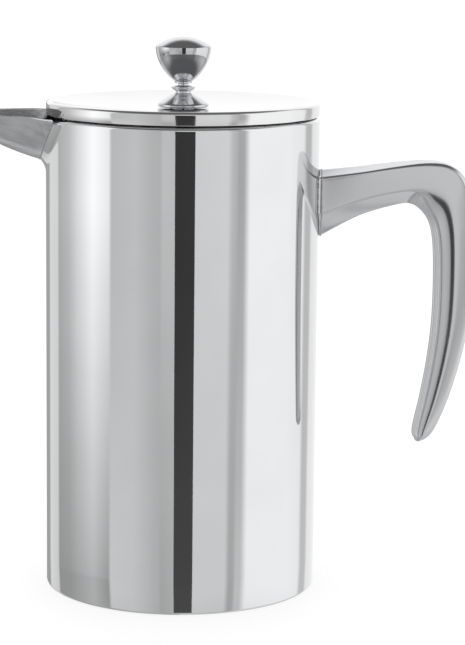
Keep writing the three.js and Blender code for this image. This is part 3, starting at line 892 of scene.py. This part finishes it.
def bush():
    out, low, top = turned_size("guide_bush")
    flange, sleeve = low + 0.9, 3.6
    corners = [(BORE_R, low), (out, low), (out, flange)]
    corners += [(sleeve, flange), (sleeve, top), (BORE_R, top)]
    return rounded_lathe("rod_bush", corners, 0.25)


# ---- Plunger ----

def knob():
    rim_r, foot, crown = turned_size("knob")
    rim_z = foot + 14.5
    rise = crown - rim_z
    dome_r = (rim_r ** 2 + rise ** 2) / (2 * rise)
    half_angle = math.degrees(math.asin(rim_r / dome_r))
    foot_r, socket = 3.15, ROD_HIGH + 0.6
    profile = [(0, socket), (BORE_R, socket), (BORE_R, foot)]
    profile += arc(foot_r, foot + 0.35, 0.35, -90, 30, 5)
    goblet = [(foot_r + 0.3, foot + 0.7), (7.2, foot + 3.1), (rim_r, foot + 8.8), (rim_r, rim_z - 0.15)]
    profile += bezier(goblet, 30)
    profile += arc(0, crown - dome_r, dome_r, 90 - half_angle + 0.6, 90, 20)
    return lathe("goblet_knob", profile, 128)


def rod():
    """The rod, with a thread at its lower end."""
    profile = [(0, ROD_LOW), (ROD_R - 0.5, ROD_LOW), (ROD_R - 0.15, ROD_LOW + 0.4)]
    for k in range(6):
        z = ROD_LOW + 0.5 + 0.5 * k
        profile += [(ROD_R - 0.02, z), (ROD_R - 0.24, z + 0.25)]
    profile += [(ROD_R, ROD_LOW + 3.6)] + [(ROD_R, z) for z in (60, 120, 180)]
    profile += [(ROD_R, ROD_HIGH - 0.4), (ROD_R - 0.4, ROD_HIGH), (0, ROD_HIGH)]
    return lathe("guide_rod", profile, 48)


def collar():
    out, low, high = turned_size("rod_collar")
    corners = [(BORE_R, low), (out, low), (out, high - 1), (out - 0.9, high), (BORE_R, high)]
    return rounded_lathe("plunger_collar", corners, 0.3, 96)


def spring_plate():
    out, low, high = turned_size("spring_plate")
    sheet = 0.8
    over = low + sheet
    corners = [
        (BORE_R, low), (12, low), (30, low), (out, low), (out, high),
        (out - sheet, high), (out - sheet, over), (30, over), (12, over), (BORE_R, over),
    ]
    plate = lathe("perforated_plate", eased(corners, 0.35, 4), 192)
    cutters = []
    for count, ring, radius in ((8, 17, 4.4), (14, 32, 4.8)):  # holes, their circle and their size
        for k in range(count):
            turn = 2 * math.pi * k / count
            hole = circle(ring * math.cos(turn), ring * math.sin(turn), radius)
            cutters.append(prism(hole, low - 1, low + 2))
    return cut(plate, cutters)


def coil():
    """A fine coil spring, bent to a ring."""
    turns, steps = 190, 10
    wire = 0.32
    winding = COIL_TUBE - wire
    points = []
    for k in range(turns * steps):
        along = 2 * math.pi * k / (turns * steps)
        turn = 2 * math.pi * k / steps
        r = COIL_R + winding * math.cos(turn)
        points.append((r * math.cos(along), r * math.sin(along), COIL_Z + winding * math.sin(turn)))
    return tube("wiper_coil", points, wire, 6, closed=True)


def woven_screen():
    """Woven wires over the flat of the screen, in a turned-up hem."""
    middle = corners_of("mesh_screen")[0].z + 0.2
    rim, eye, pitch, wire, sway = COIL_R, 4.0, 1.1, 0.12, 0.09
    verts, faces = [], []
    count = int(rim / pitch)
    for direction in (0, 1):
        for k in range(-count, count + 1):
            offset = k * pitch
            half = math.sqrt(max(0.0, rim * rim - offset * offset))
            gap = math.sqrt(max(0.0, eye * eye - offset * offset))
            for start, end in ([(-half, half)] if gap < 0.1 else [(-half, -gap), (gap, half)]):
                sizes = (middle, pitch, wire, sway)
                weave_wire(verts, faces, direction, k, offset, start, end, sizes)
    return new_object("woven_screen", verts, faces, 70)


def weave_wire(verts, faces, direction, number, offset, start, end, sizes):
    """One wire of the screen, over and under its neighbours."""
    middle, pitch, wire, sway = sizes
    steps = max(2, int((end - start) / pitch * 2))
    sides = 4
    base = len(verts)
    for i in range(steps + 1):
        along = mix(start, end, i / steps)
        swing = sway * math.cos(math.pi * (along / pitch + number + direction))
        for j in range(sides):
            turn = math.pi * (2 * j + 1) / sides
            across, up = offset + wire * math.cos(turn), middle + swing + wire * math.sin(turn)
            verts.append((across, along, up) if direction else (along, across, up))
    for i in range(steps):
        for j in range(sides):
            a, b = base + i * sides + j, base + i * sides + (j + 1) % sides
            quad = [a, b, b + sides, a + sides]
            faces.append(quad if direction else quad[::-1])
    tail = base + steps * sides
    ends = [list(range(base, base + sides)), list(range(tail, tail + sides))[::-1]]
    faces += [end[::-1] if direction else end for end in ends]


def screen_hem():
    """The pressed edge that carries the woven wires round the coil."""
    outer = COIL_TUBE + 0.75
    inner = outer - 0.4
    edge = COIL_R - 1.5
    profile = [(edge, COIL_Z - outer), (COIL_R, COIL_Z - outer)]
    profile += arc(COIL_R, COIL_Z, outer, -86, 0, 12)
    profile += arc(COIL_R, COIL_Z, inner, 0, -86, 12)
    profile += [(edge, COIL_Z - inner), (edge, COIL_Z - outer)]
    return lathe("screen_hem", profile, 240)


def screen_eye():
    low = corners_of("mesh_screen")[0].z
    out, high = 4.6, low + 0.45
    corners = [(BORE_R, low), (out, low), (out, high), (BORE_R, high)]
    return rounded_lathe("screen_eyelet", corners, 0.1, 64)


def cross_plate():
    out, low, high = turned_size("cross_plate")
    under = high - 1
    corners = [
        (BORE_R, high), (BORE_R, under), (8, under), (37.5, under), (out - 1, under),
        (out - 1, low), (out, low), (out, high), (37.5, high), (8, high),
    ]
    plate = lathe("cross_arms", eased(corners, 0.3, 4), 192)
    count, inner, outer, arm = 6, 10, 36, 2.2
    cutters = []
    for k in range(count):
        middle = (2 * k + 1) * math.pi / count
        outline = []
        for radius, order in ((outer, 1), (inner, -1)):
            half = math.pi / count - math.asin(arm / radius)
            turns = [middle + half * order * (-1 + 2 * i / 14) for i in range(15)]
            outline += [(radius * math.cos(a), radius * math.sin(a)) for a in turns]
        cutters.append(prism([tuple(p) for p in eased(outline, 1.2, 3)[:-1]], high - 2, high + 1))
    return cut(plate, cutters)


# ---- Assembly ----

def build_vessel():
    darken_channel(fit(shell(), MIRROR, "mirror_steel", "vessel", "outer_shell"))
    darken_channel(fit(spout(), SPOUT, "brushed_spout", "vessel", "spout"))
    fit(spout_weld(), WELD, "brushed_spout", "vessel")
    fit(handle(), HANDLE, "handle_steel", "vessel", "handle")
    fit(handle_weld(), WELD, "handle_steel", "vessel")
    fit(handle_collar(), HANDLE, "mirror_steel", "vessel")
    fit(chamber(), CHAMBER, "satin_steel", "vessel", "inner_vessel")
    fit(foot_plate(), SATIN, "satin_steel", "vessel", "base_plate")


def build_lid():
    fit(cover(), LID_MIRROR, "mirror_steel", "lid", "lid_cover")
    fit(liner(), CHAMBER, "satin_steel", "lid", "lid_liner")
    fit(seal(), SILICONE, "silicone", "seal", "lid_seal")
    fit(ferrule(), TURNED, "turned_steel", "lid", "lid_ferrule")
    fit(washer(), SATIN, "satin_steel", "lid", "ferrule_washer")
    fit(hexagon_nut("lock_nut", "ferrule_nut", 15, LID_HOLE_R), SATIN, "satin_steel", "lid", "ferrule_nut")
    fit(bush(), BUSH, "bush_plastic", "bush", "guide_bush")


def build_plunger():
    fit(knob(), TURNED, "turned_steel", "plunger", "knob")
    fit(rod(), TURNED, "turned_steel", "plunger", "plunger_rod")
    fit(collar(), SATIN, "satin_steel", "plunger", "rod_collar")
    fit(spring_plate(), SATIN, "satin_steel", "plunger", "spring_plate")
    fit(coil(), SPRING, "spring_wire", "plunger", "coil_spring")
    fit(woven_screen(), WOVEN, "woven_wire", "plunger", "mesh_screen")
    fit(screen_hem(), WOVEN, "woven_wire", "plunger")
    fit(screen_eye(), SATIN, "satin_steel", "plunger")
    fit(cross_plate(), SATIN, "satin_steel", "plunger", "cross_plate")
    fit(hexagon_nut("rod_nut", "hub_nut", 9, BORE_R), SATIN, "satin_steel", "plunger", "hub_nut")


# ---- Studio ----

# Brightness round the studio, by the angle in degrees from the camera's side of the room,
# positive towards the handle: (from, to, (brightness at from and to, level with the object),
# (the same, low in the room)).
PANELS = [
    (-180, -152, (0.39, 0.40), (0.37, 0.38)),
    (-148, -129, (0.78, 0.77), (0.78, 0.70)),
    (-127, -111, (0.49, 0.60), (0.34, 0.36)),
    (-109, -81, (0.63, 1.18), (0.36, 0.50)),
    (-79, -63.5, (1.18, 1.0), (0.50, 0.35)),
    (-61.5, -41, (0.58, 0.62), (0.68, 0.66)),
    (-39, -26, (0.62, 0.54), (0.65, 0.56)),
    (-23.5, -18, (0.53, 0.52), (0.53, 0.50)),
    (-16.5, -7, (0.61, 0.60), (0.44, 0.48)),
    (2, 38, (0.72, 0.75), (0.69, 0.69)),
    (42, 46, (0.58, 0.52), (0.43, 0.45)),
    (47.5, 52.5, (0.45, 0.47), (0.60, 0.62)),
    (58, 102, (1.03, 1.03), (1.0, 1.0)),
    (104, 122, (1.0, 0.95), (1.0, 0.95)),
    (127, 136, (0.56, 0.57), (0.60, 0.60)),
    (140, 180, (0.90, 1.0), (0.9, 1.0)),
]
LEVEL_ROW = (-0.285, -0.125)  # from the low row to the level one, by the sine of the height angle
TABLE = (0.2, 0.72)  # what black and white walls become where the table is seen
TABLE_EDGE = (-0.6, -0.3)
BACKDROP = 1.06
BACKDROP_EDGE = (148, 153)  # degrees from the camera's side
CEILING = 0.14
CEILING_EDGE = (0.52, 0.80)
CEILING_SLOPE = 0.10  # the ceiling starts lower on the camera's side


def studio_world():
    """Plain white to the camera and to matt surfaces, and a room with panels to the polished ones."""
    world = bpy.data.worlds.new("studio")
    world.use_nodes = True
    bpy.context.scene.world = world
    t = Tree(world.node_tree)
    direction = t.node("ShaderNodeTexCoord").outputs["Generated"]
    parts = t.node("ShaderNodeSeparateXYZ", {"Vector": direction})
    x, y, z = parts.outputs["X"], parts.outputs["Y"], parts.outputs["Z"]
    around = t.math("ARCTAN2", x, t.math("MULTIPLY", y, -1.0))
    turn = t.math("ADD", t.math("DIVIDE", around, 2 * math.pi), 0.5)
    levels = []
    for row in (2, 3):
        stops = []
        for panel in PANELS:
            stops += [(panel[0] / 360 + 0.5, panel[row][0] / 2), (panel[1] / 360 + 0.5, panel[row][1] / 2)]
        levels.append(t.math("MULTIPLY", t.ramp(turn, stops), 2.0))
    walls = t.mix(t.span(z, *LEVEL_ROW, 0.0, 1.0), levels[1], levels[0])
    table = t.span(z, *TABLE_EDGE, 1.0, 0.0, "SMOOTHSTEP")
    walls = t.mix(table, walls, t.span(walls, 0.0, 1.0, *TABLE))
    behind = t.span(t.math("ABSOLUTE", around), *(math.radians(a) for a in BACKDROP_EDGE), 0.0, 1.0)
    backdrop = t.math("MULTIPLY", behind, t.span(z, 0.0, 0.06, 0.0, 1.0))
    walls = t.mix(backdrop, walls, BACKDROP)
    front = t.math("MAXIMUM", t.math("MULTIPLY", y, -1.0), 0.0)
    height = t.math("ADD", z, t.math("MULTIPLY", front, CEILING_SLOPE))
    above = t.span(height, *CEILING_EDGE, 0.0, 1.0, "SMOOTHSTEP")
    room = t.mix(above, walls, CEILING)
    level = t.mix(t.node("ShaderNodeLightPath").outputs["Is Glossy Ray"], 1.0, room)
    light = t.node("ShaderNodeBackground", {"Color": (1, 1, 1, 1), "Strength": level})
    t.node("ShaderNodeOutputWorld", {"Surface": light.outputs["Background"]})


def floor():
    """A wide pale floor that shines a little itself, and isn't seen in the steel."""
    size = 9.0 / MM
    verts = [(-size, -size, 0), (size, -size, 0), (size, size, 0), (-size, size, 0)]
    ground = new_object("floor", verts, [(0, 1, 2, 3)])
    material, t, place = new_material("floor")
    principled(t, {
        "Base Color": t.ramp(t.noise(place, 3.0), [(0.3, 0.36), (0.7, 0.38)]),
        "Roughness": 0.7,
        "Emission Color": (1, 1, 1, 1),
        "Emission Strength": 0.68,
    })
    ground.data.materials.append(material)
    ground.visible_glossy = False


def dark_card():
    """A black card that stands in front of the press, and shows only in its reflections."""
    near, low, high = -550, -230, 330
    verts = [(-48, near, low), (95, near, low), (95, near, high), (-63, near, high)]
    card = new_object("dark_card", verts, [(0, 1, 2, 3)])
    material, t, place = new_material("card")
    height = t.node("ShaderNodeSeparateXYZ", {"Vector": place}).outputs["Z"]
    grain = t.span(t.noise(place, 4.0), 0.3, 0.7, -0.004, 0.004)
    level = t.math("ADD", t.span(height, -0.15, 0.05, 0.075, 0.042), grain)
    glow = t.node("ShaderNodeEmission", {"Color": (1, 1, 1, 1), "Strength": level})
    t.node("ShaderNodeOutputMaterial", {"Surface": glow.outputs["Emission"]})
    card.data.materials.append(material)
    for kind in ("camera", "diffuse", "shadow", "transmission", "volume_scatter"):
        setattr(card, "visible_" + kind, False)


# The camera stands in front, a little above the lid, and looks slightly down: metres and degrees.
CAMERA_BACK = 0.9651
CAMERA_HEIGHT = 0.2745
CAMERA_PITCH = 9.934
CAMERA_YAW = 1.207
CAMERA_ROLL = 0.602
CAMERA_LENS = 136.69
SENSOR = 36


def camera():
    pitch, yaw, roll = (math.radians(a) for a in (CAMERA_PITCH, CAMERA_YAW, CAMERA_ROLL))
    forward = Vector((math.sin(yaw) * math.cos(pitch), math.cos(yaw) * math.cos(pitch), -math.sin(pitch)))
    level = forward.cross(Vector((0, 0, 1))).normalized()
    upright = level.cross(forward)
    right = math.cos(roll) * level + math.sin(roll) * upright
    up = math.cos(roll) * upright - math.sin(roll) * level
    data = bpy.data.cameras.new("camera")
    data.sensor_fit = "VERTICAL"
    data.sensor_height = SENSOR
    data.lens = CAMERA_LENS
    data.clip_end = 50
    view = bpy.data.objects.new("camera", data)
    turn = Matrix((right, up, -forward)).transposed()
    view.matrix_world = Matrix.Translation((0, -CAMERA_BACK, CAMERA_HEIGHT)) @ turn.to_4x4()
    bpy.context.scene.collection.objects.link(view)
    bpy.context.scene.camera = view


bpy.context.scene.view_settings.view_transform = "Standard"
camera()
studio_world()
floor()
dark_card()
build_vessel()
build_lid()
build_plunger()
